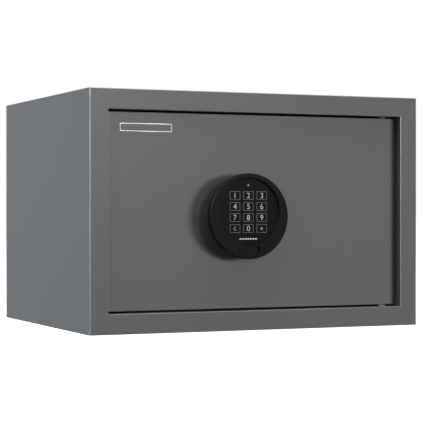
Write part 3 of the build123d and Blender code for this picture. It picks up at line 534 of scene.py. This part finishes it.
def print_mark(ink):
    """A plain row of short slanted dashes under the keys."""
    centre = front_centre(*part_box("keypad_panel")) - Vector((0, 0, MARK_DROP))
    built = bmesh.new()
    for i in range(MARK_DASHES):
        x = centre.x + (i - (MARK_DASHES - 1) / 2) * MARK_PITCH
        flat = [(x + across * MARK_LENGTH, centre.z + up * MARK_HEIGHT) for across, up in DASH_CORNERS]
        front = [built.verts.new((px, centre.y - INK, pz)) for px, pz in flat]
        back = [built.verts.new((px, centre.y, pz)) for px, pz in flat]
        built.faces.new(front)
        built.faces.new(back[::-1])
        for k in range(4):
            j = (k + 1) % 4
            built.faces.new((front[k], back[k], back[j], front[j]))
    bmesh.ops.recalc_face_normals(built, faces=built.faces)
    mesh_object("print_mark", from_bmesh("print_mark", built), "knob", ink)


def badge_rim(material):
    """Polished lip round the blank nameplate."""
    low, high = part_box("badge_plate")
    centre = front_centre(low, high) + Vector((0, LIP_SUNK, 0))
    width, height = high.x - low.x - LIP_INSET, high.z - low.z - LIP_INSET
    built = raised_frame(centre, width, height, LIP_WIDTH, (LIP_R, LIP_INNER_R), LIP_HEIGHT)
    mesh_object("badge_rim", from_bmesh("badge_rim", built), "door", material)


# Felt mat -------------------------------------------------------------------------------------

def at_hole_rim(point, holes):
    """A grid point near the rim of a hole is moved onto it; any other stays."""
    nearest, farthest = MAT_HOLE_PULL
    for hole in holes:
        away = point - hole
        if nearest < away.length < farthest:
            point = hole + away.normalized() * MAT_HOLE_R
    return point


def felt_sheet(low, high, holes):
    """Top face of the mat: a slightly uneven grid, open at the holes."""
    columns = round((high.x - low.x) / MAT_GRID)
    rows = round((high.y - low.y) / MAT_GRID)
    rng = random.Random(MAT_SEED)
    built = bmesh.new()
    grid = {}
    for i in range(columns + 1):
        for j in range(rows + 1):
            x = low.x + (high.x - low.x) * i / columns
            y = low.y + (high.y - low.y) * j / rows
            point = at_hole_rim(Vector((x, y)), holes)
            edge = i in (0, columns) or j in (0, rows)
            rise = 0.0 if edge else rng.uniform(0.0, MAT_RISE) * MM
            grid[i, j] = built.verts.new((point.x, point.y, high.z - MAT_TOP_ROOM + rise))
    for i in range(columns):
        for j in range(rows):
            corners = [grid[i, j], grid[i + 1, j], grid[i + 1, j + 1], grid[i, j + 1]]
            middle = sum((v.co for v in corners), Vector()) / 4
            if all((middle.xy - hole).length > MAT_HOLE_CUT for hole in holes):
                built.faces.new(corners)
    bmesh.ops.delete(built, geom=[v for v in built.verts if not v.link_faces], context="VERTS")
    return built


def felt_mat(material):
    """Cut felt on the casing's floor: a soft sheet with holes over the anchors."""
    low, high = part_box("floor_mat")
    mount = [m for m in frame["record"]["mounts"] if m["name"] == "floor_anchor_holes"][0]
    span = mount["dims"]["spacing_x_mm"] * MM / 2
    holes = [Vector((side * span, mount["pos_m"][1])) for side in (-1, 1)]
    data = from_bmesh("felt_mat", felt_sheet(low, high, holes))
    for face in data.polygons:
        face.use_smooth = True
    mat = mesh_object("felt_mat", data, "casing", material)
    solid = mat.modifiers.new("thickness", "SOLIDIFY")
    solid.thickness = high.z - low.z - MAT_ROOM
    solid.offset = -1
    round_over = mat.modifiers.new("soft_edge", "BEVEL")
    round_over.width = MAT_EDGE_R
    round_over.segments = 2
    round_over.limit_method = "ANGLE"
    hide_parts("floor_mat")


# Stage ----------------------------------------------------------------------------------------

def make_camera():
    camera = bpy.data.objects.new("camera", bpy.data.cameras.new("camera"))
    bpy.context.scene.collection.objects.link(camera)
    camera.data.sensor_width = CAMERA_SENSOR
    camera.data.lens = CAMERA_LENS
    camera.data.clip_start, camera.data.clip_end = CAMERA_CLIP
    camera.location = FRONT_CENTRE + CAMERA_OFFSET
    camera.rotation_euler = (math.radians(90), 0, -math.radians(CAMERA_YAW))
    bpy.context.scene.camera = camera


def around(bearing, distance, height):
    """Place at a bearing in degrees, from the front towards the right, round the front's centre."""
    angle = math.radians(bearing)
    return FRONT_CENTRE + Vector((math.sin(angle) * distance, -math.cos(angle) * distance, height))


def area_light(name, place, target, size, power, colour=WHITE, diffuse=True, glossy=True):
    """A softbox; without diffuse it only shows in reflections, and without glossy it never does."""
    data = bpy.data.lights.new(name, "AREA")
    data.shape = "RECTANGLE"
    data.size, data.size_y = size
    data.energy = power
    data.color = colour
    lamp = bpy.data.objects.new(name, data)
    bpy.context.scene.collection.objects.link(lamp)
    lamp.location = place
    lamp.rotation_euler = (target - place).to_track_quat("-Z", "Y").to_euler()
    lamp.visible_diffuse = diffuse
    lamp.visible_glossy = glossy


def make_light():
    """A key from the right with a weak reflection, a side light and a fill without any, an edge strip
    and a sheen that only reflect, and a large soft top light."""
    key_place = around(*KEY_PLACE)
    area_light("key_light", key_place, FRONT_CENTRE, KEY_SIZE, KEY_POWER, WARM, glossy=False)
    area_light("key_gloss", key_place, FRONT_CENTRE, KEY_SIZE, KEY_POWER * KEY_GLOSS, WARM, diffuse=False)
    area_light("side_light", SIDE_POSITION, SIDE_TARGET, SIDE_SIZE, SIDE_POWER, COOL, glossy=False)
    area_light("fill_light", around(*FILL_PLACE), FRONT_CENTRE, FILL_SIZE, FILL_POWER, PALE, glossy=False)
    area_light("edge_strip", around(*STRIP_PLACE), FRONT_CENTRE, STRIP_SIZE, STRIP_POWER, diffuse=False)
    area_light("front_sheen", around(*SHEEN_PLACE), FRONT_CENTRE, SHEEN_SIZE, SHEEN_POWER, diffuse=False)
    area_light("top_light", TOP_POSITION, TOP_TARGET, TOP_SIZE, TOP_POWER)


def make_world():
    """White behind the object, and a dim bluish fill on it."""
    world = bpy.data.worlds.new("world")
    bpy.context.scene.world = world
    world.use_nodes = True
    tree = world.node_tree
    tree.nodes.clear()
    seen = add_node(tree, "ShaderNodeBackground")
    set_inputs(seen, {"Color": (*WHITE, 1)})
    fill = add_node(tree, "ShaderNodeBackground")
    set_inputs(fill, {"Color": (*AMBIENT, 1), "Strength": AMBIENT_STRENGTH})
    path = add_node(tree, "ShaderNodeLightPath")
    mixed = add_node(tree, "ShaderNodeMixShader")
    output = add_node(tree, "ShaderNodeOutputWorld")
    tree.links.new(path.outputs["Is Camera Ray"], mixed.inputs[0])
    tree.links.new(fill.outputs[0], mixed.inputs[1])
    tree.links.new(seen.outputs[0], mixed.inputs[2])
    tree.links.new(mixed.outputs[0], output.inputs["Surface"])


def make_floor():
    """Glowing white paper, which neither lights the object nor shows in its gloss."""
    built = bmesh.new()
    bmesh.ops.create_grid(built, x_segments=FLOOR_SEGMENTS, y_segments=FLOOR_SEGMENTS, size=FLOOR_HALF_SIZE)
    floor = bpy.data.objects.new("floor", from_bmesh("floor", built))
    bpy.context.scene.collection.objects.link(floor)
    made, tree, shader = surface("floor_paper", roughness=0.9, Emission_Strength=FLOOR_GLOW)
    pale = mix_colours(tree, noise(tree, scale=3, detail=3), (0.88, 0.88, 0.88), (0.92, 0.92, 0.92))
    plug(tree, shader, pale)
    tree.links.new(pale, shader.inputs["Emission Color"])
    floor.data.materials.append(made)
    floor.visible_diffuse = False
    floor.visible_glossy = False


bpy.context.scene.view_settings.view_transform = "Standard"
make_camera()
make_light()
make_world()
make_floor()

materials = make_materials()
dress_nodes(materials)
figure_ink = printed_ink("figure_ink", PRINT_WHITE)
print_keys(printed_ink("outline_ink", PRINT_GREY), figure_ink)
print_mark(figure_ink)
badge_rim(brushed_metal("badge_lip", LIP_METAL, 0.3, stretch=(60, 1, 1)))
felt_mat(materials["felt"])
